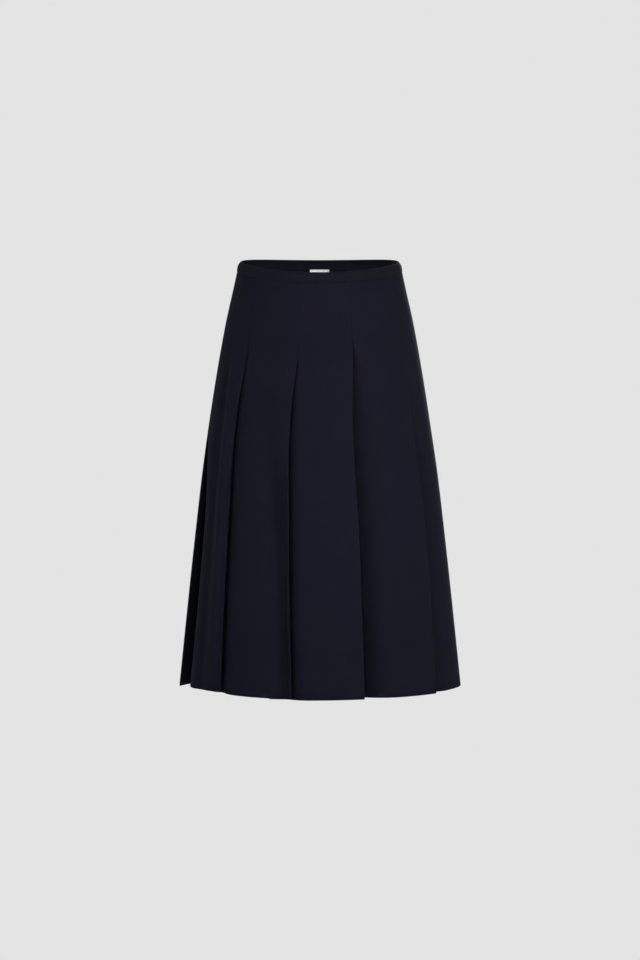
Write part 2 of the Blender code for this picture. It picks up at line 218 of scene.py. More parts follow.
def crepe(name, dark, light, sheen):
    """The crepe in a shade between two colours. Its patterns follow the cloth's own map, in metres."""
    look = Look(
        name,
        Roughness=0.82,
        Specular_IOR_Level=0.06,
        Sheen_Weight=sheen,
        Sheen_Roughness=0.38,
        Sheen_Tint=(0.62, 0.64, 0.85, 1.0),
    )
    grain, across, down = look.cloth_map()
    pebble = look.noise(grain, PEBBLE_SCALE)
    cloud = look.noise(grain, CLOUD_SCALE, 3.0)
    slub_place = {"X": across * WARP_SCALE, "Y": down * YARN_LENGTHWAYS}
    slub = look.noise(look.node("ShaderNodeCombineXYZ", sockets=slub_place), 1.0, 1.0)
    pick_place = {"X": across * YARN_LENGTHWAYS, "Y": down * WEFT_SCALE}
    pick = look.noise(look.node("ShaderNodeCombineXYZ", sockets=pick_place), 1.0, 1.0)
    warp = look.sine(across * (math.pi / YARN_STEP) + pebble * 2.4)
    weft = look.sine(down * (math.pi / YARN_STEP) + pebble * 2.4)
    weave = warp * weft
    pressed_and_painted_highlight = look.mark("pressed_and_painted_highlight")
    # The pressed mark also paints a faint highlight into the colour along pressed edges; the rest of the tone
    # is the yarn's own random variation.
    tone = cloud * 0.45 + slub * 0.25 + pick * 0.2 + weave * 0.12 + pressed_and_painted_highlight * 0.08
    painted_shade_colour = tuple(part * PAINTED_SHADE_TONE for part in dark)
    painted_shade = look.mark("painted_shade")
    # Painted shade: the colour goes towards near black where the mesh marks a pleat's hollow or a deep
    # trough.
    look.feed("Base Color", look.blend(painted_shade * PAINTED_SHADE_SHARE, look.blend(tone, dark, light), painted_shade_colour))
    look.feed("Roughness", 0.86 - pressed_and_painted_highlight * 0.05 - cloud * 0.06)
    look.bump(0.35, CREPE_RELIEF, weave * 0.5 + pebble * 0.6 + slub * 0.25 + pick * 0.2)
    return look.material


skirt_crepe = crepe("midnight_crepe", (0.0060, 0.0057, 0.0124), (0.0086, 0.0083, 0.0172), 0.02)


# ---------------------------------------------------------------------------------------------
# The ten gores, each cut with a pleat extension down one side and seamed to the next inside the
# pleat. The pleats are stitched down over the hip and pressed below it; ten make the round.
MM = 0.001
HEM_DROP = 0.710
BAND_HEIGHT = 0.0175
SEAM_GAP = 0.0003
WAIST_SIDE_RISE = 0.0034
WAIST_TILT = 0.0101
WAIST_DIP = 0.0076
TUCK = 0.0014  # how far the gores go up inside the waistband
TUCK_INSET = 0.0003  # how much further in they lie there
TUCK_EASE = 0.0020
CLOTH = 0.0005
HEM_TURN_UP = 0.032  # hem allowance turned up inside
HEM_FOLD = 0.0006  # what the turned-up layer adds to the wall
HEM_FOLD_EDGE = 0.0015
HEM_ROUND = 0.0004
YOKE_PITCH = 0.00054  # from one layer of a pleat to the next, stitched down
HEM_PITCH = 0.0020  # and hanging free
YOKE_HOLLOW = 0.0011
FIRST_GAPE = 0.0013  # how far a pleat stands off just under its stitching
# How far below its stitching a pleat is wholly free, gapes, is loosely layered and has its full hollow.
FREED_OVER = 0.035
GAPE_OVER = 0.03
PITCH_OVER = 0.15
HOLLOW_OVER = 0.19
HOLLOW_CURVE = 2.0  # how steeply a gore comes up out of the hollow beside the pleat before it
UNDERLAY_AT_WAIST = 0.020
UNDERLAY_AT_HEM = 0.040
VALLEY_SHARE = 1.15
PRESS_WIDTH = 0.0016  # how wide the pressed strip is along a pleat edge: smoother, and painted lighter as a highlight
MAP_ACROSS = 0.15  # where a gore's middle and the waist lie on the cloth's map
MAP_DOWN = 0.75

OUTLINE = np.array(
    (
        # drop, half-width, half-depth
        (0.014, 0.1385, 0.1010),
        (0.044, 0.1451, 0.1085),
        (0.094, 0.1564, 0.1190),
        (0.145, 0.1661, 0.1265),
        (0.229, 0.1802, 0.1372),
        (0.330, 0.1949, 0.1482),
        (0.465, 0.2110, 0.1602),
        (0.600, 0.2257, 0.1706),
        (0.710, 0.2372, 0.1780),
    )
)

EDGE_DROPS = (0.0, 0.12, 0.22, 0.42, HEM_DROP)
STAND_DROPS = (0.25, 0.40, 0.55, HEM_DROP)
PLEATS = (
    # node, pleat edge's angle at the edge drops, drop in mm where it opens, how far in mm it stands off
    # at the stand drops, width in mm of the next gore's hollow, how much higher in mm than the skirt's
    # length the hem is at the gore's start and at its edge
    ("gore_01_right_side", (-85.0, -85.0, -85.0, -85.0, -85.0),
     240, (0.3, 9.0, 16.0, 19.5), 110, 0.0, -1.0),
    ("gore_02_front_right", (-47.0, -46.0, -48.9, -47.6, -44.4),
     94, (2.0, 5.0, 6.0, 6.5), 34, 1.4, 4.6),
    ("gore_03_front_centre_right", (-11.6, -12.4, -15.4, -14.5, -11.5),
     98, (3.2, 5.5, 6.5, 4.0), 28, 1.4, -2.2),
    ("gore_04_front_centre_left", (18.8, 19.0, 17.0, 17.8, 18.0),
     80, (7.0, 11.5, 14.5, 16.0), 62, -3.7, -2.6),
    ("gore_05_front_left", (59.0, 58.8, 56.2, 57.6, 54.8),
     160, (5.0, 5.5, 3.4, 5.0), 32, -1.9, -1.9),
    ("gore_06_left_side", (105.0, 105.0, 105.0, 104.0, 103.0),
     214, (0.4, 3.2, 5.2, 7.0), 36, -0.3, 0.6),
    ("gore_07_back_left", (139.0, 139.0, 139.4, 138.6, 139.0),
     132, (3.6, 6.6, 8.5, 10.0), 45, 0.0, -0.6),
    ("gore_08_back_centre_left", (168.0, 168.0, 168.8, 169.8, 171.0),
     128, (2.8, 5.6, 7.4, 7.0), 30, -1.2, -1.8),
    ("gore_09_back_centre_right", (204.0, 204.0, 204.6, 204.0, 204.0),
     126, (3.8, 6.4, 8.2, 10.6), 38, -1.6, 0.0),
    ("gore_10_back_right", (239.0, 239.0, 238.4, 239.2, 239.0),
     136, (3.4, 6.0, 8.4, 9.0), 42, 0.0, 0.4),
)

# Soft creases in a gore's face. Depth in mm: above zero a ridge, below zero a trough.
CREASE_LEAD = 0.06
CREASE_RISE = 0.12
CREASE_FADE = 0.10
STILL_EDGE = 0.0040  # how near its pressed edge a gore's creases die away
DEEP_CREASE = 0.007  # a trough this deep gets the whole painted shade
CREASES = (
    # gore, angle and drop at its upper end, angle and drop at its lower end, half-width top and bottom,
    # depth top and bottom
    ("gore_02_front_right", -56.4, 0.16, -49.5, 0.71, 0.0090, 0.0110, 3.8, 2.4),
    ("gore_02_front_right", -64.0, 0.16, -58.0, 0.71, 0.0100, 0.0130, -4.4, -2.8),
    ("gore_02_front_right", -51.0, 0.28, -46.2, 0.71, 0.0060, 0.0070, -1.2, -2.0),
    ("gore_03_front_centre_right", -27.5, 0.18, -22.0, 0.38, 0.0130, 0.0120, -1.6, -2.6),
    ("gore_03_front_centre_right", -19.6, 0.34, -14.2, 0.66, 0.0150, 0.0130, -4.5, -6.5),
    ("gore_03_front_centre_right", -36.0, 0.50, -30.0, 0.71, 0.0200, 0.0240, 0.6, 1.6),
    ("gore_05_front_left", 40.0, 0.22, 41.0, 0.60, 0.030, 0.036, 0.8, 1.2),
    ("gore_06_left_side", 66.0, 0.20, 66.0, 0.66, 0.012, 0.016, -1.0, -1.6),
    ("gore_06_left_side", 84.0, 0.30, 82.0, 0.71, 0.020, 0.024, 1.2, 2.4),
    ("gore_07_back_left", 122.0, 0.24, 118.0, 0.71, 0.016, 0.020, -1.4, -3.0),
    ("gore_08_back_centre_left", 160.0, 0.20, 163.0, 0.58, 0.014, 0.012, -1.4, -3.2),
    ("gore_09_back_centre_right", 190.0, 0.18, 196.0, 0.66, 0.016, 0.014, -1.2, -3.0),
    ("gore_10_back_right", 228.0, 0.26, 222.0, 0.71, 0.018, 0.022, 1.2, 2.6),
    ("gore_01_right_side", -104.0, 0.26, -108.0, 0.71, 0.016, 0.022, -1.2, -2.6),
)

HIP_SHARE = 0.22  # the share of the length that has the closer rows
ROWS_AT_HIP = 34
ROWS_BELOW = 80
HIDDEN_COLUMNS = 6
FACE_COLUMNS = 74
CROWDED = 0.82  # of the face's columns, how much they crowd towards its edges
EVENLY = 0.18  # and how much they are evenly spread
TURN_COLUMNS = 6
UNDER_COLUMNS = 9


def soft(share):
    """0 before the start, 1 past the end, and a soft S between them."""
    share = np.clip(share, 0.0, 1.0)
    return share * share * (3.0 - 2.0 * share)


def smooth_through(at, places, values):
    """A smooth curve through short rows of values."""
    places, values = np.asarray(places, float), np.asarray(values, float)
    slopes = np.gradient(values, places)
    low = np.clip(np.searchsorted(places, at, side="right") - 1, 0, len(places) - 2)
    span = places[low + 1] - places[low]
    share = np.clip((at - places[low]) / span, 0.0, 1.0)
    cubed, squared = share**3, share**2
    return (
        (2 * cubed - 3 * squared + 1) * values[low]
        + (cubed - 2 * squared + share) * slopes[low] * span
        + (3 * squared - 2 * cubed) * values[low + 1]
        + (cubed - squared) * slopes[low + 1] * span
    )


def waist_height(angle):
    forward = np.cos(angle)
    return WAIST_SIDE_RISE - WAIST_TILT * forward - WAIST_DIP * forward * forward


def outline_at(drop):
    return (
        smooth_through(drop, OUTLINE[:, 0], OUTLINE[:, 1]),
        smooth_through(drop, OUTLINE[:, 0], OUTLINE[:, 2]),
    )


def along(angle, half_width, half_depth):
    return np.hypot(half_width * np.cos(angle), half_depth * np.sin(angle))


def place(angle, offset, half_width, half_depth):
    """A point this far outside the outline."""
    length = along(angle, half_width, half_depth)
    x = half_width * np.sin(angle) + half_depth * np.sin(angle) / length * offset
    y = -half_depth * np.cos(angle) - half_width * np.cos(angle) / length * offset
    return x, y


class Pleat:
    """A gore's pleat edge and how it hangs, at any height."""

    def __init__(self, row, back_by=0.0):
        self.node, self.angles, opens, stands, hollow, hem_start, hem_edge = row
        self.opens, self.hollow = opens * MM, hollow * MM
        self.stands = tuple(stand * MM for stand in stands)
        self.hem_start, self.hem_edge = hem_start * MM, hem_edge * MM
        self.back_by = back_by

    def edge(self, drop):
        return np.radians(smooth_through(drop, EDGE_DROPS, self.angles) - self.back_by)

    def freed(self, drop):
        return soft((drop - self.opens) / FREED_OVER)

    def stand(self, drop):
        found = smooth_through(drop, (self.opens, *STAND_DROPS), (0.0, *self.stands))
        return found * self.freed(drop) + FIRST_GAPE * soft((drop - self.opens) / GAPE_OVER)

    def pitch(self, drop):
        return YOKE_PITCH + (HEM_PITCH - YOKE_PITCH) * soft((drop - self.opens) / PITCH_OVER)

    def hollow_width(self, drop):
        return YOKE_HOLLOW + (self.hollow - YOKE_HOLLOW) * soft((drop - self.opens) / HOLLOW_OVER)

    def underlay(self, drop):
        return UNDERLAY_AT_WAIST + (UNDERLAY_AT_HEM - UNDERLAY_AT_WAIST) * drop / HEM_DROP


def crease_depth(pleat, angle, drop, half_width, half_depth):
    """How far the soft creases of a gore move all its layers out or in, near and under its pleat edge."""
    found = np.zeros(np.broadcast(angle, drop).shape)
    for gore, top_angle, top_drop, low_angle, low_drop, top_half, low_half, top_depth, low_depth in CREASES:
        if gore != pleat.node:
            continue
        run = np.clip((drop - top_drop) / (low_drop - top_drop), 0.0, 1.0)
        middle = np.radians(top_angle + (low_angle - top_angle) * run - pleat.back_by)
        half = top_half + (low_half - top_half) * run
        reach = (angle - middle) * along(middle, half_width, half_depth) / half
        begins = soft((drop - top_drop + CREASE_LEAD) / CREASE_RISE)
        fades = begins * (1.0 - soft((drop - low_drop) / CREASE_FADE))
        tall = (top_depth + (low_depth - top_depth) * run) * MM
        found = found + tall * fades * np.exp(-(reach**2))
    to_edge = (pleat.edge(drop) - angle) * along(angle, half_width, half_depth)
    return found * soft(to_edge / STILL_EDGE)


def gore_grid(before, own):
    """The middle of a gore's cloth as rows of points, with its map in metres, its pressed edges, which are
    also painted lighter as a highlight, and the shade painted into its hollows."""
    row_shares = np.concatenate(
        (
            np.linspace(0.0, HIP_SHARE, ROWS_AT_HIP, endpoint=False),
            np.linspace(HIP_SHARE, 1.0, ROWS_BELOW),
        )
    )
    drop = HEM_DROP * row_shares[:, None]
    half_width, half_depth = outline_at(drop)
    start, end = before.edge(drop), own.edge(drop)
    start_run, end_run = along(start, half_width, half_depth), along(end, half_width, half_depth)
    width = (end - start) * along((start + end) / 2.0, half_width, half_depth)

    depth = 2.0 * before.pitch(drop) + before.stand(drop)
    valley = 2.0 * before.pitch(drop) + before.stand(drop) * VALLEY_SHARE
    shares = np.linspace(1.0, 0.0, HIDDEN_COLUMNS, endpoint=False)[None, :]
    hidden_angle = start - before.underlay(drop) * shares / start_run
    hidden_offset = -(depth + (valley - depth) * shares)
    hidden_offset = hidden_offset + crease_depth(before, hidden_angle, drop, half_width, half_depth)

    even = np.linspace(0.0, 1.0, FACE_COLUMNS)
    shares = (0.5 - 0.5 * np.cos(np.pi * even))[None, :] * CROWDED + even[None, :] * EVENLY
    face_angle = start + (end - start) * shares
    rise = 1.0 - (1.0 - np.clip(shares * width / before.hollow_width(drop), 0.0, 1.0)) ** HOLLOW_CURVE
    face_offset = -depth * (1.0 - rise)
    creased = crease_depth(own, face_angle, drop, half_width, half_depth)
    face_offset = face_offset + creased
    # Painted shade: full in the hollow beside the pleat before, where it hangs free, and in troughs as deep
    # as DEEP_CREASE.
    painted_shade_face = (1.0 - rise) * before.freed(drop) + np.clip(-creased / DEEP_CREASE, 0.0, 1.0)
    # The pressed strip along the edge: smoother, and painted lighter as a highlight.
    pressed_and_painted_highlight_face = np.exp(-(((1.0 - shares) * width / PRESS_WIDTH) ** 2)) * np.ones_like(drop)

    radius = own.pitch(drop) / 2.0
    turns = (np.pi * np.arange(1, TURN_COLUMNS + 1) / (TURN_COLUMNS + 1))[None, :]
    turn_angle = end + radius * np.sin(turns) / end_run
    turn_offset = -radius * (1.0 - np.cos(turns))

    deeper = own.stand(drop) * VALLEY_SHARE
    shares = np.linspace(0.0, 1.0, UNDER_COLUMNS)[None, :]
    under_angle = end - own.underlay(drop) * shares / end_run
    under_offset = -own.pitch(drop) - deeper * shares
    under_offset = under_offset + crease_depth(own, under_angle, drop, half_width, half_depth)
    last_turns = (np.pi * np.arange(1, TURN_COLUMNS + 1) / TURN_COLUMNS)[None, :]
    last_angle = end - (own.underlay(drop) + radius * np.sin(last_turns)) / end_run
    last_offset = -own.pitch(drop) - deeper - radius * (1.0 - np.cos(last_turns))
    last_offset = last_offset + crease_depth(own, last_angle, drop, half_width, half_depth)

    angle = np.hstack((hidden_angle, face_angle, turn_angle, under_angle, last_angle))
    offset = np.hstack((hidden_offset, face_offset, turn_offset, under_offset, last_offset)) - CLOTH / 2.0
    # Pressed strip: smoother, with a highlight painted lighter into the colour, along the pleat edge and
    # round its turn.
    pressed_and_painted_highlight = np.zeros_like(angle)
    pressed_and_painted_highlight[:, HIDDEN_COLUMNS : HIDDEN_COLUMNS + FACE_COLUMNS] = pressed_and_painted_highlight_face
    pressed_and_painted_highlight[:, HIDDEN_COLUMNS + FACE_COLUMNS : HIDDEN_COLUMNS + FACE_COLUMNS + TURN_COLUMNS] = 1.0

    # Painted shade is full on the hidden layer under the pleat before, and none on the turn and the layers
    # under the edge.
    painted_shade = np.ones_like(angle)
    painted_shade[:, HIDDEN_COLUMNS : HIDDEN_COLUMNS + FACE_COLUMNS] = painted_shade_face
    painted_shade[:, HIDDEN_COLUMNS + FACE_COLUMNS :] = 0.0

    top = waist_height(angle) - BAND_HEIGHT + TUCK
    first, last = before.edge(HEM_DROP), own.edge(HEM_DROP)
    share = np.clip((angle - first) / (last - first), 0.0, 1.0)
    hem = -HEM_DROP + own.hem_start + (own.hem_edge - own.hem_start) * share
    height = top + (hem - top) * row_shares[:, None]
    offset = offset - TUCK_INSET * (1.0 - soft((top - TUCK - height) / TUCK_EASE))
    x, y = place(angle, offset, *outline_at(-height))
    points = np.stack((x, y, height), axis=2)

    steps = np.linalg.norm(np.diff(points, axis=1), axis=2)
    across = np.hstack((np.zeros_like(drop), np.cumsum(steps, axis=1)))
    middle_column = HIDDEN_COLUMNS + FACE_COLUMNS // 2
    across = across - across[:, middle_column : middle_column + 1]
    grain = np.stack((across + MAP_ACROSS, height + MAP_DOWN), axis=2)
    return points, grain, pressed_and_painted_highlight, painted_shade


def shell(name, points, wall_out, wall_in, grain, pressed_and_painted_highlight, material, rim=0.0):
    """A closed sheet of cloth on a grid of points: an outer face, an inner face and a rim all round."""
    rows, columns = points.shape[:2]
    over = np.gradient(points, axis=1)
    down = np.gradient(points, axis=0)
    facing = np.cross(down, over)
    facing /= np.linalg.norm(facing, axis=2, keepdims=True)
    outer = points + facing * wall_out[..., None]
    inner = points - facing * wall_in[..., None]
    spots = [outer.reshape(-1, 3), inner.reshape(-1, 3)]
    lower_rim = points[-1] + (outer[-1] - points[-1] + inner[-1] - points[-1]) / 2.0
    lower_rim = lower_rim + np.array((0.0, 0.0, -rim))
    spots.append(lower_rim)
    count = rows * columns
    index = np.arange(count).reshape(rows, columns)
    a, b, c, d = index[:-1, :-1], index[:-1, 1:], index[1:, 1:], index[1:, :-1]
    front = np.stack((a, d, c, b), axis=2).reshape(-1, 4)
    back = np.stack((a, b, c, d), axis=2).reshape(-1, 4) + count
    rim_index = 2 * count + np.arange(columns)
    top_edge, low_edge = index[0], index[-1]
    top_faces = np.stack((top_edge[:-1], top_edge[1:], top_edge[1:] + count, top_edge[:-1] + count), axis=1)
    low_out = np.stack((low_edge[1:], low_edge[:-1], rim_index[:-1], rim_index[1:]), axis=1)
    low_in = np.stack((rim_index[1:], rim_index[:-1], low_edge[:-1] + count, low_edge[1:] + count), axis=1)
    left, right = index[:, 0], index[:, -1]
    left_faces = np.stack((left[1:], left[:-1], left[:-1] + count, left[1:] + count), axis=1)
    right_faces = np.stack((right[:-1], right[1:], right[1:] + count, right[:-1] + count), axis=1)
    quads = np.concatenate((front, back, top_faces, low_out, low_in, left_faces, right_faces))
    corners = (
        (low_edge[0], low_edge[0] + count, rim_index[0]),
        (low_edge[-1] + count, low_edge[-1], rim_index[-1]),
    )
    faces = quads.tolist() + [tuple(map(int, corner)) for corner in corners]
    mesh = bpy.data.meshes.new(name)
    mesh.from_pydata(np.concatenate(spots).tolist(), [], faces)
    mesh.update()
    vertex_grain = np.concatenate((grain.reshape(-1, 2), grain.reshape(-1, 2), grain[-1]))
    loops = np.empty(len(mesh.loops), int)
    mesh.loops.foreach_get("vertex_index", loops)
    mesh.uv_layers.new(name="grain").data.foreach_set("uv", vertex_grain[loops].ravel())
    smooth_and_highlight_mark = mesh.attributes.new("pressed_and_painted_highlight", "FLOAT", "POINT")
    smooth_and_highlight_mark.data.foreach_set("value", np.concatenate((pressed_and_painted_highlight.ravel(), pressed_and_painted_highlight.ravel(), pressed_and_painted_highlight[-1])))
    mesh.shade_smooth()
    mesh.materials.append(material)
    piece = bpy.data.objects.new(name, mesh)
    bpy.context.scene.collection.objects.link(piece)
    return piece


pleats = [Pleat(row) for row in PLEATS]
last_before_first = Pleat(PLEATS[-1], back_by=360.0)
gore_points = {}
for before, own in zip([last_before_first, *pleats], pleats):
    points, grain, pressed_and_painted_highlight, painted_shade = gore_grid(before, own)
    gore_points[own.node] = points
    above_hem = points[..., 2] - points[-1:, :, 2]
    wall_out = np.full(points.shape[:2], CLOTH / 2.0)
    wall_in = wall_out + HEM_FOLD * (1.0 - soft((above_hem - HEM_TURN_UP) / HEM_FOLD_EDGE))
    piece = shell("cloth_" + own.node, points, wall_out, wall_in, grain, pressed_and_painted_highlight, skirt_crepe, HEM_ROUND)
    # The mesh carries the painted shade for the crepe's colour.
    painted_shade_mark = piece.data.attributes.new("painted_shade", "FLOAT", "POINT")
    painted_shade_mark.data.foreach_set("value", np.concatenate((painted_shade.ravel(), painted_shade.ravel(), painted_shade[-1])))
    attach(piece, "skirt")
    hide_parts(own.node)


# ---------------------------------------------------------------------------------------------
# The waistband: two strips of the same crepe, fused and folded double, joined at the sides. It is
# seated on the gores' outline at its lower edge and leans in a little towards its upper edge.
BAND_HALF_WIDTH = 0.1385
BAND_HALF_DEPTH = 0.1010
BAND_WALL = 0.0021
BAND_PROUD = 0.0002
BAND_STEPS = 220
BAND_RIPPLE = 0.00012
FACING_SHIFT = 0.04  # how far down the map the inner layer lies from the outer one
PRESSED_EDGE = 0.03  # the share of the height that its fold is pressed over, smoother and painted lighter as a highlight
ZIP_ANGLE = 105.0
RIGHT_SEAM_ANGLE = -85.0
BAND_LEAN = (
    # share of the height from the top, how far inside the outline at the waistband's lower edge
    (0.0, 0.0060),
    (0.3, 0.0022),
    (0.65, 0.0004),
    (1.0, 0.0),
)
BAND_SECTION = (
    # share of the height from the top, share of the wall from its outer face
    (0.000, 0.50),
    (0.012, 0.20),
    (0.045, 0.04),
    (0.120, 0.00),
    (0.300, 0.00),
    (0.500, 0.00),
    (0.700, 0.00),
    (0.880, 0.00),
    (0.955, 0.05),
    (0.985, 0.20),
    (1.000, 0.50),
    (0.985, 0.80),
    (0.955, 0.96),
    (0.880, 1.00),
    (0.700, 1.00),
    (0.500, 1.00),
    (0.300, 1.00),
    (0.120, 1.00),
    (0.045, 0.96),
    (0.012, 0.80),
)

band_crepe = crepe("fused_crepe", (0.0060, 0.0066, 0.0104), (0.0086, 0.0094, 0.0142), 0.02)


def waistband(name, node, first, last):
    clearance = SEAM_GAP / 2.0 / BAND_HALF_DEPTH
    angle = np.linspace(np.radians(first) + clearance, np.radians(last) - clearance, BAND_STEPS + 1)[:, None]
    section = np.array(BAND_SECTION)
    share, inward = section[None, :, 0], section[None, :, 1]
    lean = np.array(BAND_LEAN)
    inset = smooth_through(share, lean[:, 0], lean[:, 1])
    ripple = BAND_RIPPLE * np.sin(angle * 57.0) * np.sin(angle * 23.0 + 1.0) * (share * 0.7 + 0.3)
    seam_width, seam_depth = outline_at(np.maximum(BAND_HEIGHT - waist_height(angle), OUTLINE[0, 0]))
    x, y = place(angle, BAND_PROUD - BAND_WALL * inward + ripple, seam_width - inset, seam_depth - inset)
    height = waist_height(angle) - BAND_HEIGHT * share
    points = np.stack((x, y, height * np.ones_like(x)), axis=2)
    rounds, around = points.shape[:2]
    spots = points.reshape(-1, 3)
    faces = []
    for i in range(rounds - 1):
        for j in range(around):
            k = (j + 1) % around
            faces.append((i * around + j, (i + 1) * around + j, (i + 1) * around + k, i * around + k))
    for i, turned in ((0, 1), (rounds - 1, -1)):
        for j in range(around // 2 - 1):
            near, far = i * around + j, (i + 1) * around - j
            cap = (near, near + 1, far - 1, far) if j else (near, near + 1, far - 1)
            faces.append(cap[::turned])
        middle = around // 2
        faces.append((i * around + middle - 1, i * around + middle, i * around + middle + 1)[::turned])
    mesh = bpy.data.meshes.new(name)
    mesh.from_pydata(spots.tolist(), [], [tuple(int(v) for v in face) for face in faces])
    mesh.update()
    run = np.cumsum(np.r_[0.0, np.linalg.norm(np.diff(points[:, 3], axis=0), axis=1)])
    grain = np.empty((rounds, around, 2))
    grain[..., 0] = run[:, None]
    grain[..., 1] = (share * BAND_HEIGHT + FACING_SHIFT * (inward > 0.5)) * np.ones((rounds, 1))
    loops = np.empty(len(mesh.loops), int)
    mesh.loops.foreach_get("vertex_index", loops)
    mesh.uv_layers.new(name="grain").data.foreach_set("uv", grain.reshape(-1, 2)[loops].ravel())
    # The pressed top fold: smoother, and painted lighter as a highlight.
    pressed_and_painted_highlight = np.where(share < PRESSED_EDGE, 0.7, 0.0) * np.ones((rounds, 1))
    mesh.attributes.new("pressed_and_painted_highlight", "FLOAT", "POINT").data.foreach_set("value", pressed_and_painted_highlight.ravel())
    mesh.shade_smooth()
    mesh.materials.append(band_crepe)
    piece = bpy.data.objects.new(name, mesh)
    bpy.context.scene.collection.objects.link(piece)
    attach(piece, "skirt")
    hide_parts(node)


waistband("cloth_waistband_front", "waistband_front", RIGHT_SEAM_ANGLE, ZIP_ANGLE)
waistband("cloth_waistband_back", "waistband_back", ZIP_ANGLE, RIGHT_SEAM_ANGLE + 360.0)


# ---------------------------------------------------------------------------------------------
# The label: a blank loop of white woven satin ribbon, folded flat and caught to the lining side of
# the waistband at the centre back with a small bar of stitches at each upper corner.
LABEL_WIDTH = 0.0335
LABEL_TOP = -0.0102
LABEL_HEIGHT = 0.0202
LABEL_DEPTH = 0.0035  # its middle, inside the waistband's outer face
LABEL_HALF_THICK = 0.00036
LABEL_BOW = 0.0003
LABEL_WAVE = 0.0002
LABEL_COLUMNS = 40
LABEL_ROWS = 26
RIB_STEP = 0.00036
FLOAT_STEP = 0.00052

satin = Look("white_satin", Roughness=0.42, Specular_IOR_Level=0.35, Sheen_Weight=0.15)
ribbon, ribbon_x, ribbon_y = satin.cloth_map()
ribs = satin.sine(ribbon_y * (math.tau / RIB_STEP))
floats = satin.sine(ribbon_x * (math.tau / FLOAT_STEP))
mottle = satin.noise(ribbon, 420.0)
satin.feed("Base Color", satin.blend(ribs * 0.2 + mottle * 0.8, (0.90, 0.90, 0.89), (0.98, 0.98, 0.97)))
satin.feed("Roughness", 0.36 + mottle * 0.14)
satin.bump(0.3, 0.0001, ribs * 0.5 + floats * ribs * 0.3)

across = np.linspace(-0.5, 0.5, LABEL_COLUMNS)[None, :]
down = np.linspace(0.0, 1.0, LABEL_ROWS)[:, None]
label_angle = math.pi + across * LABEL_WIDTH / BAND_HALF_WIDTH
bow = LABEL_BOW * np.cos(across * 9.0) * np.sin(down * 2.6)
bow = bow + LABEL_WAVE * np.sin(down * 5.0 + across * 4.0)
label_x, label_y = place(label_angle, -LABEL_DEPTH - bow, BAND_HALF_WIDTH, BAND_HALF_DEPTH)
label_z = LABEL_TOP - LABEL_HEIGHT * down + 0.0 * across
label_points = np.stack((label_x, label_y, label_z), axis=2)
rounding = np.minimum(1.0, 0.35 + 9.0 * np.minimum(down, 1.0 - down)) * np.ones_like(across)
label_wall = LABEL_HALF_THICK * rounding
label_grain = np.stack((across * LABEL_WIDTH + 0.0 * down, down * LABEL_HEIGHT + 0.0 * across), axis=2)
unpressed = np.zeros((LABEL_ROWS, LABEL_COLUMNS))
label = shell(
    "cloth_label", label_points, label_wall, label_wall, label_grain, unpressed, satin.material
)
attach(label, "skirt")
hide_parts("label_blank")


# ---------------------------------------------------------------------------------------------
# Things sewn or set in rows: thread stitches and the zip's coil. One tree puts a small rounded bead
# at even steps along a path, long way along or across it.
def beads_tree(name, material):
    tree = bpy.data.node_groups.new(name, "GeometryNodeTree")
    tree.interface.new_socket("Geometry", in_out="INPUT", socket_type="NodeSocketGeometry")
    for label_text, value in (("Step", 0.003), ("Along", 0.001), ("Across", 0.0001), ("Thick", 0.0001)):
        made = tree.interface.new_socket(label_text, in_out="INPUT", socket_type="NodeSocketFloat")
        made.default_value = value
    tree.interface.new_socket("Geometry", in_out="OUTPUT", socket_type="NodeSocketGeometry")
    nodes, link = tree.nodes, tree.links.new
    entry = nodes.new("NodeGroupInput")
    curve = nodes.new("GeometryNodeMeshToCurve")
    stepped = nodes.new("GeometryNodeResampleCurve")
    stepped.mode = "LENGTH"
    bead = nodes.new("GeometryNodeMeshUVSphere")
    bead.inputs["Segments"].default_value = 8
    bead.inputs["Rings"].default_value = 5
    bead.inputs["Radius"].default_value = 1.0
    size = nodes.new("ShaderNodeCombineXYZ")
    tangent = nodes.new("GeometryNodeInputTangent")
    outwards = nodes.new("GeometryNodeInputNamedAttribute")
    outwards.data_type = "FLOAT_VECTOR"
    outwards.inputs["Name"].default_value = "outwards"
    run = nodes.new("FunctionNodeAlignRotationToVector")
    run.axis = "X"
    face = nodes.new("FunctionNodeAlignRotationToVector")
    face.axis = "Z"
    face.pivot_axis = "X"
    placed = nodes.new("GeometryNodeInstanceOnPoints")
    whole = nodes.new("GeometryNodeRealizeInstances")
    smooth = nodes.new("GeometryNodeSetShadeSmooth")
    painted = nodes.new("GeometryNodeSetMaterial")
    painted.inputs["Material"].default_value = material
    leave = nodes.new("NodeGroupOutput")
    link(entry.outputs["Geometry"], curve.inputs["Mesh"])
    link(curve.outputs["Curve"], stepped.inputs["Curve"])
    link(entry.outputs["Step"], stepped.inputs["Length"])
    link(stepped.outputs["Curve"], placed.inputs["Points"])
    link(entry.outputs["Along"], size.inputs["X"])
    link(entry.outputs["Across"], size.inputs["Y"])
    link(entry.outputs["Thick"], size.inputs["Z"])
    link(bead.outputs["Mesh"], placed.inputs["Instance"])
    link(size.outputs["Vector"], placed.inputs["Scale"])
    link(tangent.outputs["Tangent"], run.inputs["Vector"])
    link(run.outputs["Rotation"], face.inputs["Rotation"])
    link(outwards.outputs["Attribute"], face.inputs["Vector"])
    link(face.outputs["Rotation"], placed.inputs["Rotation"])
    link(placed.outputs["Instances"], whole.inputs["Geometry"])
    link(whole.outputs["Geometry"], smooth.inputs["Geometry"])
    link(smooth.outputs["Geometry"], painted.inputs["Geometry"])
    link(painted.outputs["Geometry"], leave.inputs["Geometry"])
    return tree


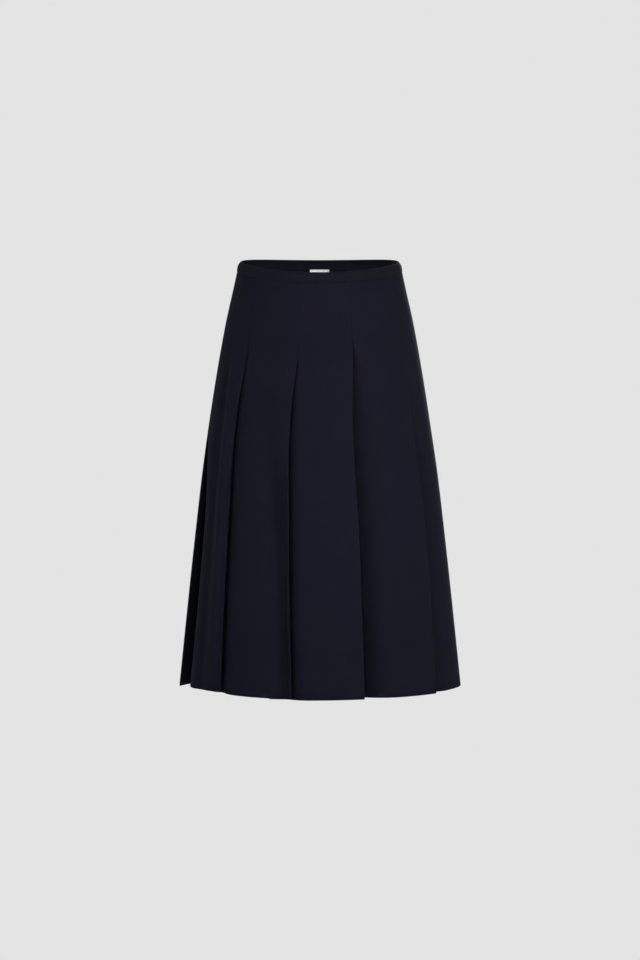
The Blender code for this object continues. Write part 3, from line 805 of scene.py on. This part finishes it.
def beads(name, paths, outwards, material, slot, **sizes):
    """Beads along these paths, as one mesh that rides on the skirt."""
    spots, edges, facing = [], [], []
    for path, out in zip(paths, outwards):
        first = len(spots)
        spots.extend(path.tolist())
        facing.extend(out.tolist())
        edges.extend((i, i + 1) for i in range(first, first + len(path) - 1))
    guide = bpy.data.meshes.new(name + "_path")
    guide.from_pydata(spots, edges, [])
    guide.attributes.new("outwards", "FLOAT_VECTOR", "POINT").data.foreach_set("vector", np.ravel(facing))
    carrier = bpy.data.objects.new(name + "_path", guide)
    bpy.context.scene.collection.objects.link(carrier)
    tree = beads_tree(name + "_tree", material)
    modifier = carrier.modifiers.new("beads", "NODES")
    modifier.node_group = tree
    for socket in tree.interface.items_tree:
        if socket.in_out == "INPUT" and socket.name in sizes:
            modifier[socket.identifier] = sizes[socket.name]
    graph = bpy.context.evaluated_depsgraph_get()
    made = bpy.data.meshes.new_from_object(carrier.evaluated_get(graph))
    carrier.modifiers.remove(modifier)
    bpy.data.objects.remove(carrier)
    piece = bpy.data.objects.new(name, made)
    bpy.context.scene.collection.objects.link(piece)
    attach(piece, "skirt")


def outward(path):
    """The level directions that face out from the skirt's middle."""
    out = path * np.array((1.0 / BAND_HALF_WIDTH**2, 1.0 / BAND_HALF_DEPTH**2, 0.0))
    return out / np.linalg.norm(out, axis=1, keepdims=True)


thread = Look("navy_thread", Roughness=0.55, Specular_IOR_Level=0.25)
twist_place = thread.node("ShaderNodeTexCoord", out=3)
twist = thread.node("ShaderNodeTexNoise", sockets={"Vector": twist_place, "Scale": 2600.0, "Detail": 2.0})
thread.feed("Base Color", thread.blend(twist, (0.0050, 0.0050, 0.0100), (0.0130, 0.0130, 0.0220)))
thread.feed("Roughness", 0.5 + twist * 0.2)
thread.bump(0.4, 0.0001, twist)


# ---------------------------------------------------------------------------------------------
# The hem's thread: a small catch stitch that holds the turned-up edge to the inside of each gore.
CATCH_STEP = 0.0085
CATCH_LENGTH = 0.0030
THREAD_RADIUS = 0.00014
hem_paths = []
for points in gore_points.values():
    above = points[..., 2] - points[-1:, :, 2]
    row = int(np.argmin(np.abs(above[:, FACE_COLUMNS // 2] - HEM_TURN_UP)))
    face = points[row, HIDDEN_COLUMNS + 3 : HIDDEN_COLUMNS + FACE_COLUMNS - 3]
    hem_paths.append(face - outward(face) * (CLOTH / 2.0 + HEM_FOLD + THREAD_RADIUS / 2.0))
beads(
    "hem_catch_stitches",
    hem_paths,
    [-outward(path) for path in hem_paths],
    thread.material,
    "skirt_cloth",
    Step=CATCH_STEP,
    Along=CATCH_LENGTH / 2.0,
    Across=THREAD_RADIUS,
    Thick=THREAD_RADIUS,
)


# ---------------------------------------------------------------------------------------------
# The waistband's stitching: one machine row round the inside, just above the seam, which closes the
# inner half of the band over the gores' upper edges.
BAND_STITCH_SHARE = 0.88
BAND_STITCH_STEP = 0.0031
BAND_STITCH_LENGTH = 0.0026
turn = np.radians(np.arange(0.0, 360.5, 1.0))
stitch_inset = smooth_through(BAND_STITCH_SHARE, [row[0] for row in BAND_LEAN], [row[1] for row in BAND_LEAN])
ring_width, ring_depth = outline_at(np.maximum(BAND_HEIGHT - waist_height(turn), OUTLINE[0, 0]))
ring_x, ring_y = place(
    turn,
    BAND_PROUD - BAND_WALL - THREAD_RADIUS / 3.0,
    ring_width - stitch_inset,
    ring_depth - stitch_inset,
)
ring = np.stack((ring_x, ring_y, waist_height(turn) - BAND_HEIGHT * BAND_STITCH_SHARE), axis=1)
beads(
    "waistband_stitches",
    [ring],
    [-outward(ring)],
    thread.material,
    "band_cloth",
    Step=BAND_STITCH_STEP,
    Along=BAND_STITCH_LENGTH / 2.0,
    Across=THREAD_RADIUS,
    Thick=THREAD_RADIUS,
)


# ---------------------------------------------------------------------------------------------
# The label's stitching: a short bar of close white stitches at each upper corner.
BAR_INNER = 0.40  # where a bar starts and ends, as shares of the label's width from its middle
BAR_OUTER = 0.475
BAR_POINTS = 6
BAR_DROP = 0.0022
BAR_PROUD = 0.0004
BAR_STEP = 0.00045
BAR_HEIGHT = 0.0018
BAR_THREAD = 0.00014
bar_paths = []
for side in (-1.0, 1.0):
    reach = np.linspace(BAR_INNER, BAR_OUTER, BAR_POINTS) * side
    bar_x, bar_y = place(
        math.pi + reach * LABEL_WIDTH / BAND_HALF_WIDTH,
        -LABEL_DEPTH - LABEL_HALF_THICK - BAR_PROUD,
        BAND_HALF_WIDTH,
        BAND_HALF_DEPTH,
    )
    bar_paths.append(np.stack((bar_x, bar_y, np.full(BAR_POINTS, LABEL_TOP - BAR_DROP)), axis=1))
beads(
    "label_stitches",
    bar_paths,
    [-outward(path) for path in bar_paths],
    satin.material,
    "label_satin",
    Step=BAR_STEP,
    Along=BAR_THREAD,
    Across=BAR_HEIGHT / 2.0,
    Thick=BAR_THREAD,
)


# ---------------------------------------------------------------------------------------------
# The zip: two woven tapes that meet under the left side seam, with a nylon coil down the middle on
# the wearer's side. It starts at the waistband's upper edge and ends below the hip.
ZIP_END_DROP = 0.205
ZIP_TAPE_WIDTH = 0.0215
ZIP_DEPTH = 0.0051  # the tape's middle, inside the gores' outer face
ZIP_HALF_THICK = 0.00028
ZIP_ROWS = 90
ZIP_COLUMNS = 25
ZIP_TOP_INSET = 0.0015
TAPE_RIPPLE = 0.00012
TAPE_CHEVRON = 0.0016
TAPE_RIB_STEP = 0.0009
COIL_STEP = 0.00115
COIL_FIRST_ROW = 4
COIL_PROUD = 0.00045
COIL_WIDTH = 0.0042
COIL_ALONG = 0.00046
COIL_THICK = 0.00075
zip_middle = math.radians(ZIP_ANGLE)
zip_top = waist_height(zip_middle) - ZIP_TOP_INSET

tape = Look("navy_zip_tape", Roughness=0.72, Specular_IOR_Level=0.2)
tape_grain, tape_x, tape_y = tape.cloth_map()
chevron = tape.node("ShaderNodeMath", {"operation": "PINGPONG"}, {0: tape_x, 1: TAPE_CHEVRON})
rib = tape.sine((tape_y + chevron) * (math.tau / TAPE_RIB_STEP))
fuzz = tape.noise(tape_grain, 700.0)
tape_tone = rib * 0.3 + fuzz * 0.7
tape.feed("Base Color", tape.blend(tape_tone, (0.0050, 0.0050, 0.0095), (0.0110, 0.0110, 0.0190)))
tape.feed("Roughness", 0.66 + fuzz * 0.14)
tape.bump(0.4, 0.0001, rib + fuzz)

zip_drop = np.linspace(-zip_top, ZIP_END_DROP, ZIP_ROWS)[:, None]
zip_half_width, zip_half_depth = outline_at(zip_drop)
in_band = np.clip((waist_height(zip_middle) + zip_drop) / BAND_HEIGHT, 0.0, 1.0)
zip_inset = smooth_through(in_band, [row[0] for row in BAND_LEAN], [row[1] for row in BAND_LEAN])
spread = np.linspace(-0.5, 0.5, ZIP_COLUMNS)[None, :]
zip_angle = zip_middle + spread * ZIP_TAPE_WIDTH / along(zip_middle, zip_half_width, zip_half_depth)
ripple = TAPE_RIPPLE * np.sin(zip_drop * 210.0) * (np.abs(spread) * 2.0) ** 2
zip_x, zip_y = place(zip_angle, -ZIP_DEPTH - zip_inset + ripple, zip_half_width, zip_half_depth)
zip_points = np.stack((zip_x, zip_y, -zip_drop + 0.0 * spread), axis=2)
seam_dip = 1.0 - 0.55 * np.exp(-((spread / 0.02) ** 2)) + 0.0 * zip_drop
zip_grain = np.stack((spread * ZIP_TAPE_WIDTH + 0.0 * zip_drop, zip_drop + 0.0 * spread), axis=2)
zip_tape = shell(
    "cloth_zip_tape",
    zip_points,
    ZIP_HALF_THICK * seam_dip,
    ZIP_HALF_THICK * seam_dip,
    zip_grain,
    np.zeros((ZIP_ROWS, ZIP_COLUMNS)),
    tape.material,
)
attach(zip_tape, "skirt")
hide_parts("zip_tape")

coil = Look("nylon_coil", Roughness=0.38, Specular_IOR_Level=0.4)
coil_place = coil.node("ShaderNodeTexCoord", out=3)
coil_tone = coil.node("ShaderNodeTexNoise", sockets={"Vector": coil_place, "Scale": 900.0})
coil.feed("Base Color", coil.blend(coil_tone, (0.0060, 0.0060, 0.0110), (0.0140, 0.0140, 0.0230)))
coil.feed("Roughness", 0.32 + coil_tone * 0.16)
tape_middle = zip_points[COIL_FIRST_ROW:, ZIP_COLUMNS // 2]
coil_path = tape_middle - outward(tape_middle) * (ZIP_HALF_THICK + COIL_PROUD)
beads(
    "zip_coil",
    [coil_path],
    [-outward(coil_path)],
    coil.material,
    "zip_tape",
    Step=COIL_STEP,
    Along=COIL_ALONG,
    Across=COIL_WIDTH / 2.0,
    Thick=COIL_THICK,
)


# ---------------------------------------------------------------------------------------------
# The slider and its pull tab: cast zinc, lacquered to match the cloth, worn a little brighter in patches
# where the coat is thinner. Both keep their frame shapes.
lacquer = Look("navy_lacquered_zinc", Metallic=0.9, Specular_IOR_Level=0.5, Coat_Roughness=0.12)
cast_place = lacquer.node("ShaderNodeTexCoord", out=3)
cast = lacquer.node("ShaderNodeTexNoise", sockets={"Vector": cast_place, "Scale": 520.0, "Detail": 3.0})
rubbed = lacquer.node("ShaderNodeValToRGB", {"stops": ((0.56, 0.0), (0.74, 1.0))}, {"Fac": cast})
lacquer.feed("Base Color", lacquer.blend(rubbed, (0.016, 0.016, 0.026), (0.060, 0.060, 0.072)))
lacquer.feed("Roughness", 0.24 + cast * 0.18)
lacquer.feed("Coat Weight", 0.6 - rubbed * 0.5)
lacquer.bump(0.15, 0.0001, cast)
for metal_node in ("zip_slider", "zip_pull"):
    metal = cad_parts[metal_node]
    metal.data.materials.clear()
    metal.data.materials.append(lacquer.material)
